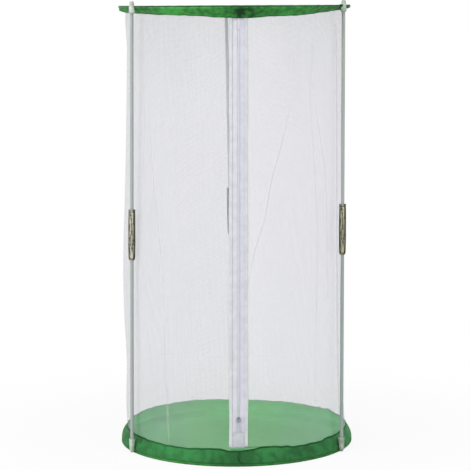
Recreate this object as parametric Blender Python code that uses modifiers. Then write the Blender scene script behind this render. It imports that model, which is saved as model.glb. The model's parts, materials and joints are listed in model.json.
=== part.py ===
"""Tall round insect cage: netting between two hooped fabric ends, on three outside poles.

Metres, +Z up. The origin is the centre of the floor's underside, and the zipped front faces -Y.
Angles are measured round the cage from the front, positive towards +X.
"""

import math

import bmesh
import bpy
from mathutils import Matrix, Vector

# Driving sizes
cage_height = 1.1515
base_radius = 0.307
top_radius = 0.3015
base_band_height = 0.0442
base_seam_inset = 0.017
base_band_belly = 0.0045
base_binding_height = 0.0048
top_seam_inset = 0.0215

# Fits and sheet materials
gap = 0.0003
fabric_thickness = 0.0012
net_thickness = 0.0008
tape_thickness = 0.0009
hoop_wire_radius = 0.0025

# Poles, by the angle of each foot round the cage, and how far each top pocket stands above the rim
pole_foot_angles = {"left": math.radians(-60), "right": math.radians(60), "rear": math.radians(181)}
top_pocket_rises = {"left": 0.0125, "right": 0.0125, "rear": -0.003}
top_twist = math.radians(3.3)
rod_radius = 0.0045
rod_chamfer_share = 0.2
lower_rod_lengths = {"left": 0.567, "right": 0.577, "rear": 0.575}

# Steps round each turned body, and how near two points count as one, as a share of the gap
ring_steps = 48
rod_steps = 24
ferrule_steps = 24
hoop_wire_steps = 6
base_band_rows = 3
full_turn = 2 * math.pi
merge_share = 0.02

# Casings round the hoops
casing_slit_half_angle = math.radians(35)
casing_arc_count = 7
casing_arc_half_step = (math.pi - casing_slit_half_angle) / (casing_arc_count - 1)
casing_bore = (hoop_wire_radius + gap) / math.cos(casing_arc_half_step)
casing_radius = casing_bore + fabric_thickness
base_hoop_radius = base_radius - casing_radius
base_seam_radius = base_radius - base_seam_inset
top_hoop_radius = top_radius - casing_radius
top_seam_radius = top_radius - top_seam_inset
top_hoop_height = cage_height - casing_radius

# The top band, whose lower edge hangs at a different drop below the hoop round the cage
top_band_steps = 2 * ring_steps
top_band_drop = 0.0213
front_dip = 0.0078
front_right_dip = 0.0022
right_lift = 0.0105
left_lift = 0.0055
dip_power = 2
lift_power = 4

# Each change of that edge: its drop, the angle of its middle, its spread and the power of its flanks
band_edge_drops = [
    (front_dip, math.radians(3), math.radians(20), dip_power),
    (front_right_dip, math.radians(33), math.radians(8), dip_power),
    (-right_lift, math.radians(98), math.radians(47), lift_power),
    (-left_lift, math.radians(-98), math.radians(47), lift_power),
]

# The netting, which goes up inside the top band, with its folds and its lean
seam_tuck = 0.003
band_flat_radius = (top_seam_radius - fabric_thickness) * math.cos(math.pi / top_band_steps)
net_head_radius = band_flat_radius - gap - net_thickness
fold_depth = 0.0022
fold_count = 11
fold_drift = math.radians(16)
side_pull = 0.009
side_pull_power_share = 0.6
calm_angle = math.radians(9)
calm_spread = math.radians(16)

# The zipped strip up the front
strip_foot_angle = math.radians(0.9)
strip_head_angle = math.radians(2.0)
strip_width = 0.048
binding_width = 0.009
binding_thickness = 0.0008
tape_parting = 0.0024
teeth_width = 0.0024
teeth_thickness = 0.0012
patch_height = 0.0424


# Materials

def material(name, colour, roughness, metallic=0.0):
    made = bpy.data.materials.new(name)
    made.use_nodes = True
    shader = made.node_tree.nodes["Principled BSDF"]
    shader.inputs["Base Color"].default_value = (*colour, 1.0)
    shader.inputs["Roughness"].default_value = roughness
    shader.inputs["Metallic"].default_value = metallic
    made.diffuse_color = (*colour, 1.0)
    made.roughness = roughness
    made.metallic = metallic
    return made


# Building blocks

def clear_scene():
    for old in list(bpy.data.objects):
        bpy.data.objects.remove(old, do_unlink=True)


def collection(name):
    made = bpy.data.collections.new(name)
    bpy.context.scene.collection.children.link(made)
    return made


def add_object(name, data, finish, home):
    made = bpy.data.objects.new(name, data)
    home.objects.link(made)
    if finish:
        data.materials.append(finish)
    return made


def profile_mesh(name, points, closed):
    mesh = bpy.data.meshes.new(name)
    count = len(points)
    edges = [(i, i + 1) for i in range(count - 1)]
    if closed:
        edges.append((count - 1, 0))
    mesh.from_pydata([(radius, 0, height) for radius, height in points], edges, [])
    return mesh


def turned(name, points, steps, finish, home, closed=False):
    """A profile of (radius, height) points, run down its outer side, turned about Z."""
    made = add_object(name, profile_mesh(name, points, closed), finish, home)
    screw = made.modifiers.new("turn", "SCREW")
    screw.steps = steps
    screw.render_steps = steps
    screw.use_merge_vertices = True
    screw.merge_threshold = gap * merge_share
    screw.use_smooth_shade = True
    return made


def arc(centre_radius, centre_height, radius, start, end, count):
    """Points on an arc in the profile's plane; angles from +radius towards +height."""
    found = []
    for i in range(count):
        angle = start + (end - start) * i / (count - 1)
        found.append((centre_radius + radius * math.cos(angle), centre_height + radius * math.sin(angle)))
    return found


def outline_object(name, loops, thickness, finish, home):
    """A flat outline in its own X-Y plane, with any holes, thickened about that plane."""
    curve = bpy.data.curves.new(name, "CURVE")
    curve.dimensions = "2D"
    curve.fill_mode = "BOTH"
    curve.extrude = thickness / 2
    for loop in loops:
        spline = curve.splines.new("POLY")
        spline.points.add(len(loop) - 1)
        for point, (across, along) in zip(spline.points, loop):
            point.co = (across, along, 0, 1)
        spline.use_cyclic_u = True
    return add_object(name, curve, finish, home)


def as_mesh(curve_object, finish, home):
    """The same object as a welded mesh, so that a Boolean can use it."""
    name = curve_object.name
    bpy.context.view_layer.update()
    graph = bpy.context.evaluated_depsgraph_get()
    mesh = bpy.data.meshes.new_from_object(curve_object.evaluated_get(graph))
    place = curve_object.matrix_world.copy()
    bpy.data.objects.remove(curve_object, do_unlink=True)
    shape = bmesh.new()
    shape.from_mesh(mesh)
    bmesh.ops.remove_doubles(shape, verts=shape.verts, dist=gap * merge_share)
    bmesh.ops.recalc_face_normals(shape, faces=shape.faces)
    shape.to_mesh(mesh)
    shape.free()
    mesh.materials.clear()
    made = add_object(name, mesh, finish, home)
    made.matrix_world = place
    return made


# The cage's surfaces

def bump(angle, centre, spread, power):
    away = math.remainder(angle - centre, full_turn)
    return math.exp(-abs(away / spread) ** power)


def top_seam_height(angle):
    """Height of the top band's lower edge at an angle round the cage."""
    drop = sum(depth * bump(angle, *place) for depth, *place in band_edge_drops)
    return cage_height - top_band_drop - drop


def strip_angle(height):
    share = (height - base_band_height) / (cage_height - base_band_height)
    return strip_foot_angle + (strip_head_angle - strip_foot_angle) * share


def wall_radius(angle, height):
    """The netting's inner radius: a straight taper, with folds and a lean to the left."""
    share = (height - base_band_height) / (top_seam_height(angle) - base_band_height)
    share = min(max(share, 0), 1)
    taper = base_seam_radius + (net_head_radius - base_seam_radius) * share
    hang = math.sin(math.pi * share)
    away = abs(math.remainder(angle - strip_angle(height), full_turn))
    free_share = 1 - math.exp(-(max(away - calm_angle, 0) / calm_spread) ** 2)
    fold = fold_depth * math.sin(fold_count * (angle + fold_drift * share)) * hang
    sideways = math.sin(angle)
    pull = side_pull * sideways * abs(sideways) * math.sin(math.pi * share ** side_pull_power_share)
    return taper + (fold - pull) * free_share


def wall_point(angle, height, layer):
    radius = wall_radius(angle, height) + layer
    return Vector((radius * math.sin(angle), -radius * math.cos(angle), height))


def wall_sheet(name, sides, heights, layer, thickness, columns, rows, finish, home):
    """A sheet on the netting's surface. sides and heights give each edge for a height or an angle."""
    left, right = sides
    low, high = heights
    shape = bmesh.new()
    grid = bmesh.ops.create_grid(shape, x_segments=columns, y_segments=rows, size=1)
    for vertex in grid["verts"]:
        across = (vertex.co.x + 1) / 2
        up = (vertex.co.y + 1) / 2
        height = base_band_height + (cage_height - base_band_height) * up
        angle = left(height) + (right(height) - left(height)) * across
        height = low(angle) + (high(angle) - low(angle)) * up
        angle = left(height) + (right(height) - left(height)) * across
        vertex.co = wall_point(angle, height, layer)
    mesh = bpy.data.meshes.new(name)
    shape.to_mesh(mesh)
    shape.free()
    mesh.shade_smooth()
    made = add_object(name, mesh, finish, home)
    solid = made.modifiers.new("thickness", "SOLIDIFY")
    solid.thickness = thickness
    solid.offset = 1
    return made


def on_strip(across):
    """The angle of a line at a distance from the strip's middle, for each height."""
    def angle(height):
        return strip_angle(height) + across / base_seam_radius
    return angle


def at_height(height):
    def edge(angle):
        return height
    return edge


def under_top_band(angle):
    return top_seam_height(angle) - gap


def inside_top_band(angle):
    return top_seam_height(angle) + seam_tuck


def over_base_band(angle):
    return base_band_height + gap


# Fabric ends

def casing(name, hoop_radius, hoop_height, finish, home):
    """A sleeve of fabric round the hoop, with its stitched slit towards the cage's middle."""
    start = math.pi - casing_slit_half_angle
    end = casing_slit_half_angle - math.pi
    outside = arc(hoop_radius, hoop_height, casing_radius, start, end, casing_arc_count)
    inside = arc(hoop_radius, hoop_height, casing_bore, end, start, casing_arc_count)
    return turned(name, outside + inside, ring_steps, finish, home, closed=True)


def hoop(name, hoop_radius, hoop_height, finish, home):
    points = arc(hoop_radius, hoop_height, hoop_wire_radius, 0, -full_turn, hoop_wire_steps + 1)[:-1]
    return turned(name, points, ring_steps, finish, home, closed=True)


def panel(name, hoop_radius, low, finish, home):
    """A flat disc of fabric that reaches the casing at the sheet's own height."""
    reach = math.sqrt(casing_radius ** 2 - (casing_radius - fabric_thickness) ** 2)
    radius = hoop_radius - reach - gap
    high = low + fabric_thickness
    points = [(0, high), (radius, high), (radius, low), (0, low)]
    return turned(name, points, ring_steps, finish, home)


def base_band(finish, home):
    """The sloping band between the netting and the casing, which bellies out between its seams."""
    low = 2 * casing_radius + gap
    outside = []
    for i in range(base_band_rows + 1):
        share = i / base_band_rows
        radius = base_seam_radius + (base_hoop_radius - base_seam_radius) * share
        radius += base_band_belly * math.sin(math.pi * share)
        outside.append((radius, base_band_height + (low - base_band_height) * share))
    inside = [(radius - fabric_thickness, height) for radius, height in reversed(outside)]
    return turned("base_band", outside + inside, ring_steps, finish, home, closed=True)


def base_binding(finish, home):
    """The folded tape over the joint of the netting and the base band."""
    slope = (base_hoop_radius - base_seam_radius) / (base_band_height - 2 * casing_radius - gap)
    half = base_binding_height / 2
    inner = (base_seam_radius + net_thickness + gap) / math.cos(math.pi / ring_steps)
    outer = inner + binding_thickness
    points = [
        (outer, base_band_height + half),
        (outer, base_band_height),
        (outer + half * slope, base_band_height - half),
        (inner + half * slope, base_band_height - half),
        (inner, base_band_height),
        (inner, base_band_height + half),
    ]
    return turned("base_binding", points, ring_steps, finish, home, closed=True)


def top_band(finish, home):
    """The sloping band under the top hoop, whose lower edge dips at the zip and lifts at both sides."""
    high = top_hoop_height - casing_radius - fabric_thickness
    shape = bmesh.new()
    bmesh.ops.create_cone(
        shape, cap_ends=False, segments=top_band_steps, radius1=top_seam_radius, radius2=top_hoop_radius,
        depth=top_band_drop,
    )
    for vertex in shape.verts:
        angle = math.atan2(vertex.co.x, -vertex.co.y)
        vertex.co.z = high if vertex.co.z > 0 else top_seam_height(angle)
    bmesh.ops.recalc_face_normals(shape, faces=shape.faces)
    mesh = bpy.data.meshes.new("top_band")
    shape.to_mesh(mesh)
    shape.free()
    made = add_object("top_band", mesh, finish, home)
    solid = made.modifiers.new("thickness", "SOLIDIFY")
    solid.thickness = fabric_thickness
    solid.offset = -1
    return made


# Poles and their pockets

pocket_mouth_radius = 0.008
foot_pocket_length = 0.036
foot_pocket_height = 0.0035
top_pocket_length = 0.030
pocket_end_radius = rod_radius + gap + fabric_thickness
ferrule_length = 0.130
ferrule_radius = 0.0093
ferrule_mouth_radius = 0.0087
ferrule_lip = 0.003
ferrule_lip_groove = 0.0005
ferrule_nose = 0.006


def pocket_radius_at(share):
    """A pocket's outer radius, from its closed end at 0 to its mouth at 1."""
    return pocket_end_radius + (pocket_mouth_radius - pocket_end_radius) * share


def pole_ends(side):
    """The inner floor of a pole's foot pocket, and the inner end of its top pocket."""
    angle = pole_foot_angles[side]
    rise = top_pocket_rises[side]
    tip_angle = angle + top_twist
    foot_radius = base_radius + gap + pocket_radius_at(0)
    tip_radius = top_radius + gap + pocket_radius_at(max(rise, 0) / top_pocket_length)
    foot_height = foot_pocket_height + fabric_thickness
    tip_height = cage_height + rise - fabric_thickness
    foot = Vector((foot_radius * math.sin(angle), -foot_radius * math.cos(angle), foot_height))
    tip = Vector((tip_radius * math.sin(tip_angle), -tip_radius * math.cos(tip_angle), tip_height))
    return foot, tip


def pole_frame(side, home):
    """An empty at the pole's foot, with Z up the pole and X outwards."""
    foot, tip = pole_ends(side)
    up = (tip - foot).normalized()
    outward = Vector((foot.x, foot.y, 0)).normalized()
    across = up.cross(outward).normalized()
    outward = across.cross(up)
    frame = bpy.data.objects.new("pole_" + side + "_frame", None)
    home.objects.link(frame)
    axes = Matrix((outward, across, up)).transposed().to_4x4()
    frame.matrix_world = Matrix.Translation(foot) @ axes
    return frame, (tip - foot).length


def pole_hinge(side, frame, home):
    """An empty where the pole leans over: the outer corner of its foot, with the hinge along Y."""
    hinge = bpy.data.objects.new("pole_" + side + "_hinge", None)
    home.objects.link(hinge)
    hinge.parent = frame
    hinge.location = (rod_radius, 0, gap)
    return hinge


def hang_on(hinge, made):
    """Hang a piece on the hinge, without moving it."""
    made.parent = hinge
    made.location = -hinge.location


def rod(name, low, high, finish, home):
    chamfer = rod_radius * rod_chamfer_share
    points = [
        (0, high),
        (rod_radius - chamfer, high),
        (rod_radius, high - chamfer),
        (rod_radius, low + chamfer),
        (rod_radius - chamfer, low),
        (0, low),
    ]
    return turned(name, points, rod_steps, finish, home)


def ferrule(name, middle, finish, home):
    """The metal sleeve: a lipped mouth for the upper rod, a slight barrel, and a drawn-in lower end."""
    bore = rod_radius + gap
    low = middle - ferrule_length / 2
    high = middle + ferrule_length / 2
    points = [
        (bore, high),
        (ferrule_mouth_radius + ferrule_lip_groove, high),
        (ferrule_mouth_radius + ferrule_lip_groove, high - ferrule_lip),
        (ferrule_mouth_radius, high - ferrule_lip - ferrule_lip_groove),
        (ferrule_radius, middle),
        (ferrule_mouth_radius, low + ferrule_nose),
        ((ferrule_mouth_radius + bore) / 2, low + ferrule_lip_groove),
        (bore, low),
    ]
    return turned(name, points, ferrule_steps, finish, home, closed=True)


def pocket(name, floor_height, length, direction, finish, home):
    """A sewn sleeve with a closed end. direction is 1 where the mouth is up, and -1 where it is down."""
    mouth = floor_height + direction * (length - fabric_thickness)
    back = floor_height - direction * fabric_thickness
    wall = fabric_thickness
    points = [
        (0, floor_height),
        (rod_radius + gap, floor_height),
        (pocket_mouth_radius - wall, mouth),
        (pocket_mouth_radius, mouth),
        (pocket_end_radius, floor_height),
        (pocket_end_radius - wall, back),
        (0, back),
    ]
    if direction < 0:
        points.reverse()
    return turned(name, points, rod_steps, finish, home)


def poles(finishes, home):
    for side in pole_foot_angles:
        frame, length = pole_frame(side, home)
        hinge = pole_hinge(side, frame, home)
        joint = lower_rod_lengths[side]
        upper = rod("upper_rod_" + side, joint + gap, length - gap, finishes["rod"], home)
        foot = pocket("foot_pocket_" + side, 0, foot_pocket_length, 1, finishes["webbing"], home)
        top = pocket("top_pocket_" + side, length, top_pocket_length, -1, finishes["webbing"], home)
        for made in (upper, foot, top):
            made.parent = frame
        hang_on(hinge, rod("lower_rod_" + side, gap, joint, finishes["rod"], home))
        hang_on(hinge, ferrule("ferrule_" + side, joint, finishes["ferrule"], home))


# The zip

slider_lift = 0.0191
slider_length = 0.015
slider_width = 0.010
plate_thickness = 0.0013
post_width = 0.0016
flange_width = 0.0011
bridge_length = 0.009
bridge_height = 0.0033
bridge_width = 0.0016
bridge_bar = 0.0008
bridge_corner = 0.0012
tab_pivot_height = 0.0015
tab_width = 0.006
tab_length = 0.031
tab_thickness = 0.0012
tab_bar = 0.0014
tab_hole_width = 0.0032
tab_hole_length = 0.0052
tab_waist_share = 0.62
stop_height = 0.004
stop_width = 0.0052
stop_thickness = 0.0014
zip_head_margin = 0.0277
patch_top = base_band_height + patch_height
slider_height = patch_top + gap + stop_height + slider_lift + slider_length / 2
teeth_low = slider_height + slider_length / 2 + gap
teeth_high = cage_height - top_band_drop - front_dip - zip_head_margin - stop_height - gap
slider_travel = teeth_high - teeth_low
tab_end_count = 7
strip_row_count = 12
strip_column_count = 2
patch_column_count = 4
patch_row_count = 2


def slider_front():
    """How far the slider's front face stands off the tape's inner face."""
    return tape_thickness + teeth_thickness + 2 * gap + plate_thickness


def slider_frame(home):
    """An empty on the strip's middle line, with Z up the strip and Y outwards."""
    low = wall_point(strip_angle(slider_height), slider_height, 0)
    top = slider_height + slider_travel
    high = wall_point(strip_angle(top), top, 0)
    up = (high - low).normalized()
    outward = Vector((low.x, low.y, 0)).normalized()
    across = outward.cross(up).normalized()
    outward = up.cross(across)
    frame = bpy.data.objects.new("slider_frame", None)
    home.objects.link(frame)
    axes = Matrix((across, outward, up)).transposed().to_4x4()
    frame.matrix_world = Matrix.Translation(low) @ axes
    return frame


def slider_body(finish, home, helpers, frame):
    """Two plates joined by a post between the tapes, with side flanges and a bridge for the tab."""
    half = slider_width / 2
    post = post_width / 2
    flange = half - flange_width
    back = -gap - plate_thickness
    front = slider_front()
    shelf = front - plate_thickness
    right = [
        (half, back), (half, -gap), (post, -gap), (post, shelf), (flange, shelf),
        (flange, tape_thickness + gap), (half, tape_thickness + gap), (half, front),
    ]
    left = [(-across, out) for across, out in reversed(right)]
    made = outline_object("slider_body", [right + left], slider_length, finish, home)
    made = as_mesh(made, finish, home)
    reach = bridge_length / 2
    inner = reach - bridge_bar
    rise = front + bridge_height
    sunk = front - plate_thickness / 2
    arch = [
        (-reach, sunk), (-reach, rise - bridge_corner), (bridge_corner - reach, rise),
        (reach - bridge_corner, rise), (reach, rise - bridge_corner), (reach, sunk), (inner, sunk),
        (inner, rise - bridge_bar), (-inner, rise - bridge_bar), (-inner, sunk),
    ]
    bridge = as_mesh(outline_object("bridge_guide", [arch], bridge_width, None, helpers), None, helpers)
    bridge.hide_render = True
    bridge.display_type = "WIRE"
    bridge.parent = made
    bridge.matrix_local = Matrix.Rotation(math.pi / 2, 4, "Y")
    union = made.modifiers.new("bridge", "BOOLEAN")
    union.operation = "UNION"
    union.object = bridge
    made.parent = frame
    made.matrix_local = Matrix.Identity(4)
    return made


def pull_tab(finish, home, frame):
    """A flat tab whose top bar hangs under the slider's bridge."""
    half = tab_width / 2
    bar = tab_bar / 2
    waist = half * tab_waist_share
    end = []
    for i in range(tab_end_count):
        angle = math.pi * i / (tab_end_count - 1)
        end.append((-half * math.cos(angle), -(tab_length - half) - half * math.sin(angle)))
    hole_low = -bar - tab_hole_length
    outer = [
        (half, bar), (-half, bar), (-half, hole_low), (-waist, hole_low - half),
        (-waist, -tab_length / 2),
    ] + end + [(waist, -tab_length / 2), (waist, hole_low - half), (half, hole_low)]
    side = tab_hole_width / 2
    hole = [(-side, -bar), (side, -bar), (side, hole_low), (-side, hole_low)]
    made = outline_object("pull_tab", [outer, hole], tab_thickness, finish, home)
    made.parent = frame
    pivot = Matrix.Translation((0, slider_front() + tab_pivot_height, 0))
    made.matrix_local = pivot @ Matrix.Rotation(math.pi / 2, 4, "X")
    return made


def zip_parts(finishes, home, helpers):
    half = strip_width / 2
    joint = half - binding_width / 2
    over = tape_thickness + gap
    parting = tape_parting / 2
    full = (over_base_band, under_top_band)
    above_binding = at_height(base_band_height + base_binding_height / 2 + gap)
    for side, sign in (("left", -1), ("right", 1)):
        def edges(inner, outer):
            pair = sorted((sign * inner, sign * outer))
            return on_strip(pair[0]), on_strip(pair[1])
        wall_sheet(
            "zipper_tape_" + side, edges(parting, joint - gap / 2), full, 0, tape_thickness,
            strip_column_count, strip_row_count, finishes["tape"], home,
        )
        wall_sheet(
            "strip_binding_" + side, edges(half - binding_width, half), (above_binding, under_top_band),
            over, binding_thickness, strip_column_count, strip_row_count, finishes["webbing"], home,
        )
        wall_sheet(
            "zipper_teeth_" + side, edges(gap / 2, teeth_width),
            (at_height(teeth_low), at_height(teeth_high)),
            over, teeth_thickness, 1, strip_row_count, finishes["teeth"], home,
        )
        wall_sheet(
            "top_stop_" + side, edges(gap, stop_width / 2),
            (at_height(teeth_high + gap), at_height(teeth_high + gap + stop_height)),
            over, stop_thickness, 1, 1, finishes["metal"], home,
        )
    wall_sheet(
        "end_patch", (on_strip(binding_width + gap - half), on_strip(half - binding_width - gap)),
        (above_binding, at_height(patch_top)), over, binding_thickness, patch_column_count, patch_row_count,
        finishes["webbing"], home,
    )
    wall_sheet(
        "bottom_stop", (on_strip(-stop_width / 2), on_strip(stop_width / 2)),
        (at_height(patch_top + gap), at_height(patch_top + gap + stop_height)),
        over, stop_thickness, 1, 1, finishes["metal"], home,
    )
    frame = slider_frame(home)
    slider_body(finishes["slider"], home, helpers, frame)
    pull_tab(finishes["slider"], home, frame)


# The netting

net_column_count = 26
net_row_count = 11


def netting(finish, home):
    """Two panels, from under the strip's bindings round to a seam at the back."""
    joint = strip_width / 2 - binding_width / 2 + gap / 2
    rear = math.pi

    def rear_left(height):
        return -rear + gap / base_seam_radius

    def rear_right(height):
        return rear - gap / base_seam_radius

    full = (over_base_band, inside_top_band)
    wall_sheet(
        "net_left", (rear_left, on_strip(-joint)), full, 0, net_thickness, net_column_count, net_row_count,
        finish, home,
    )
    wall_sheet(
        "net_right", (on_strip(joint), rear_right), full, 0, net_thickness, net_column_count, net_row_count,
        finish, home,
    )


def build():
    clear_scene()
    home = collection("insect_cage")
    helpers = collection("guides")
    green = material("green_fabric", (0.045, 0.27, 0.075), 0.75)
    dark_green = material("dark_green_binding", (0.012, 0.085, 0.02), 0.8)
    white_net = material("white_netting", (0.75, 0.75, 0.79), 0.8)
    finishes = {
        "tape": material("white_tape", (0.74, 0.74, 0.80), 0.8),
        "webbing": material("white_webbing", (0.72, 0.76, 0.74), 0.85),
        "teeth": material("zipper_coil", (0.62, 0.62, 0.70), 0.4),
        "metal": material("zipper_metal", (0.55, 0.56, 0.58), 0.35, 1.0),
        "slider": material("slider_metal", (0.6, 0.61, 0.64), 0.35, 1.0),
        "rod": material("fibreglass", (0.40, 0.46, 0.40), 0.45),
        "ferrule": material("crimped_steel", (0.34, 0.32, 0.2), 0.4, 1.0),
    }
    wire = material("spring_steel", (0.35, 0.35, 0.36), 0.35, 1.0)
    hoop("base_hoop", base_hoop_radius, casing_radius, wire, home)
    casing("base_casing", base_hoop_radius, casing_radius, green, home)
    panel("floor_panel", base_hoop_radius, 0, green, home)
    base_band(green, home)
    base_binding(dark_green, home)
    hoop("top_hoop", top_hoop_radius, top_hoop_height, wire, home)
    casing("top_casing", top_hoop_radius, top_hoop_height, green, home)
    panel("top_panel", top_hoop_radius, cage_height - fabric_thickness, green, home)
    top_band(green, home)
    netting(white_net, home)
    zip_parts(finishes, home, helpers)
    poles(finishes, home)


build()
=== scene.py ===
"""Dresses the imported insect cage: cloth, netting, zip, pockets and sleeves over the CAD frame.

Metres, in the frame's own axes: +Z up, the zipped front faces -Y. Angles go round from the front,
positive towards +X.
"""

import json
from math import atan2, copysign, cos, exp, hypot, pi, radians, remainder, sin, sqrt

import bpy
from mathutils import Matrix, Vector


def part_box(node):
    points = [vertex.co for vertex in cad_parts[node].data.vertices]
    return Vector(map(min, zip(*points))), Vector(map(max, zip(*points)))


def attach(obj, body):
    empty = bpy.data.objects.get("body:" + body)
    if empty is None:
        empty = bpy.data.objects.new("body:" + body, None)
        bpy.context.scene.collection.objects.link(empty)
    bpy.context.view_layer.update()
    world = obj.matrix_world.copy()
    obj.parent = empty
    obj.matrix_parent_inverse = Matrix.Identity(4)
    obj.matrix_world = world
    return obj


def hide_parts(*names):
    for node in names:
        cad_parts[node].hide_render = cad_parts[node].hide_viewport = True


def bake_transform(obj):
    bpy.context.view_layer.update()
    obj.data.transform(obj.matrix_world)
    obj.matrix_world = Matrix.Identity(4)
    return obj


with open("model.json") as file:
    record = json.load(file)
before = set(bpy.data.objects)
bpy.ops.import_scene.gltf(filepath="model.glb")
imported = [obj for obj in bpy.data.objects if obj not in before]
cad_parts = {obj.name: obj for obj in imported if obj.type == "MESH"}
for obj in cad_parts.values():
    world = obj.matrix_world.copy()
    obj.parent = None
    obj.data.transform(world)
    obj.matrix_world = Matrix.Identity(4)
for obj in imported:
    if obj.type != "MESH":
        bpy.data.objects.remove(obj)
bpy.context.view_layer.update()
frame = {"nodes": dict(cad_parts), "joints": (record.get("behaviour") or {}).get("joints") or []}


# Sizes read from the frame
base_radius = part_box("base_casing")[1].x
casing_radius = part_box("base_casing")[1].z / 2
base_hoop_radius = base_radius - casing_radius
base_band_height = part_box("base_band")[1].z
top_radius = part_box("top_casing")[1].x
top_hoop_radius = top_radius - casing_radius
cage_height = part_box("top_casing")[1].z
top_hoop_height = cage_height - casing_radius
patch_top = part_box("end_patch")[1].z
stop_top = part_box("bottom_stop")[1].z
teeth_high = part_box("zipper_teeth_left")[1].z
slider_low, slider_high = (corner.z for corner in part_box("slider_body"))

# Sizes that the frame's boxes don't give, as the solids have them
full_turn = 2 * pi
base_seam_radius = base_radius - 0.017
top_seam_radius = top_radius - 0.0215
top_band_drop = 0.0213
strip_foot_angle = radians(0.9)
strip_head_angle = radians(2)
strip_half = 0.024
binding_width = 0.009
patch_low = base_band_height + 0.0027
tape_thickness = 0.0009
tape_parting = 0.0024
cloth_thickness = 0.0010
rod_radius = 0.0045
wire_cover = 0.0031
gap = 0.0003
sleeve_half_length = 0.065
sleeve_grooves = (0.0596, -0.0606)
slider_front = 0.0040
tab_pivot_height = 0.0015

# How far the top band's edge drops: depth, the middle and spread in degrees, and a power for its flanks
top_edge_drops = [(0.0078, 3, 20, 2), (0.0022, 33, 8, 2), (-0.0105, 98, 47, 4), (-0.0055, -98, 47, 4)]
# The same for the visible edge of the base band
base_edge_drops = [
    (-0.0042, -142, 30, 4), (0.0045, -33, 19, 4), (0.0046, 38.5, 11.5, 10), (-0.0022, 14, 8, 2),
    (-0.0030, 121, 3.5, 4), (0.0060, 1, 9, 4),
]

# Uneven waves round the cage: their depth, a seed, and how many go round in each of the waves that add up
ripples = {
    "net_folds": (0.0009, 1.7, (29, 43)),
    "net_puckers": (0.0008, 2.3, (61, 97, 140)),
    "floor": (0.0009, 0.6, (3, 7)),
    "base_gathers": (0.00022, 0.9, (71, 113, 167)),
    "base_band_dents": (0.0011, 0.8, (7, 12, 19)),
    "base_band_puckers": (0.0006, 1.1, (83, 127)),
    "base_band_tucks": (0.0004, 2.9, (95, 149)),
    "base_edge": (0.0013, 0.4, (13, 29, 53)),
    "base_tape": (0.0003, 1.3, (17, 41, 77)),
    "base_tape_width": (0.3, 2.6, (9, 23, 47)),
    "top": (0.0011, 1.9, (5, 9)),
    "top_puckers": (0.0005, 0.9, (53, 88)),
    "top_gathers": (0.00022, 1.6, (71, 113, 167)),
    "top_band_dents": (0.0009, 2.1, (9, 14, 23)),
    "top_band_puckers": (0.0005, 1.4, (79, 118)),
    "top_edge": (0.0008, 0.7, (21, 33, 58)),
    "top_roll": (0.25, 1.2, (7, 11, 19)),
    "top_rim": (0.0002, 0.3, (37, 59)),
}

# The wall: its even folds, how the poles draw it out at the sides, and how calm it stays along the strip
fold_depth = 0.0022
fold_count = 11
fold_drift = radians(16)
side_pull = 0.009
side_pull_power = 0.6
calm_angle = radians(9)
calm_spread = radians(16)
pucker_reach = 0.022
# How the left side sways: depth, height and spread
left_sways = [(0.0028, 0.5, 0.13), (-0.0058, 0.22, 0.1)]
net_columns = 150
net_rows = 96

# Folds pressed into each net panel, as (degrees, height) points from below
crease_paths = {
    "left": [
        [(-36.8, 0.05), (-37.2, 0.156), (-38.6, 0.256), (-39.1, 0.336), (-39.4, 0.477), (-43.9, 0.623),
         (-49.4, 0.841), (-50.8, 0.93)],
        [(-118, 0.06), (-114, 0.4), (-121, 0.8), (-119, 1.1)],
    ],
    "right": [
        [(5.5, 0.44), (9.7, 0.547), (15.1, 0.629), (18.6, 0.721), (23.4, 0.795), (29.1, 0.9)],
        [(58, 0.4), (56.5, 0.653), (54.5, 0.736), (46.9, 0.9)],
        [(131, 0.06), (127, 0.5), (133, 0.9), (130, 1.1)],
    ],
}
pale_path = [(-36.6, 0.046), (-36.9, 0.1), (-37.2, 0.19)]
edge_path = [(70, 0.045), (69.5, 0.30), (70, 0.45), (70.5, 0.75), (70, 0.95), (68, 1.10)]

# Places where a cloth's colour is made lighter or darker: a point, a reach and a change
# Painted light and shade on the base band: lighter on the left where the key lamp falls, darker on the right,
# and painted shadows by the zip's join and beside the foot sleeves
base_light_and_shade = [
    ((0.018, -0.305, 0.024), 0.055, -0.8),
    ((-0.015, -0.305, 0.024), 0.075, -0.35),
    ((0.19, -0.24, 0.02), 0.20, -0.42),
    ((-0.17, -0.25, 0.02), 0.14, 0.18),
    ((0.262, -0.148, 0.020), 0.020, -0.9),
    ((-0.246, -0.160, 0.036), 0.013, -0.9),
]
# Painted light and shade on the top band: lighter on the left, darker towards the right; it is also made
# darker at the middle of the front
top_light_and_shade = [
    ((0.012, -0.292, 1.139), 0.026, -0.6),
    ((-0.165, -0.245, 1.142), 0.07, 0.45),
    ((0.24, -0.17, 1.13), 0.12, -0.2),
    ((0.02, -0.292, 1.139), 0.10, -0.12),
    ((0.296, -0.085, 1.148), 0.085, -0.65),
]
# Makes the left netting darker towards its upper left
net_spots = [((-0.19, -0.21, 1.08), 0.22, -0.7)]
# Makes the base tape lighter towards the left
tape_spots = [((-0.16, -0.25, 0.044), 0.17, 1.3)]
# Where the netting takes on the floor's green, from the light that the floor throws back
netting_green_place = (0.0, -0.29, 0.03)

# Camera, in the frame's axes, for a square picture
camera_place = (-0.0016, -4.946, 1.1674)
camera_pitch = radians(-7.115)
camera_roll = radians(-0.299)
camera_lens = 144.68
camera_sensor = 36.0
# Each lamp's name, place, size and power in watts
lamps = [
    ("overhead", (0, -0.6, 3.4), 3.0, 50),
    ("key", (-3.1, -2.2, 2.1), 2.2, 84),
    ("fill", (2.9, -2.3, 1.6), 2.4, 42),
]


def set_up(thing, **settings):
    for name, value in settings.items():
        setattr(thing, name, value)
    return thing


def add_object(name, data):
    made = bpy.data.objects.new(name, data)
    bpy.context.scene.collection.objects.link(made)
    return made


# Node trees

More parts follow.
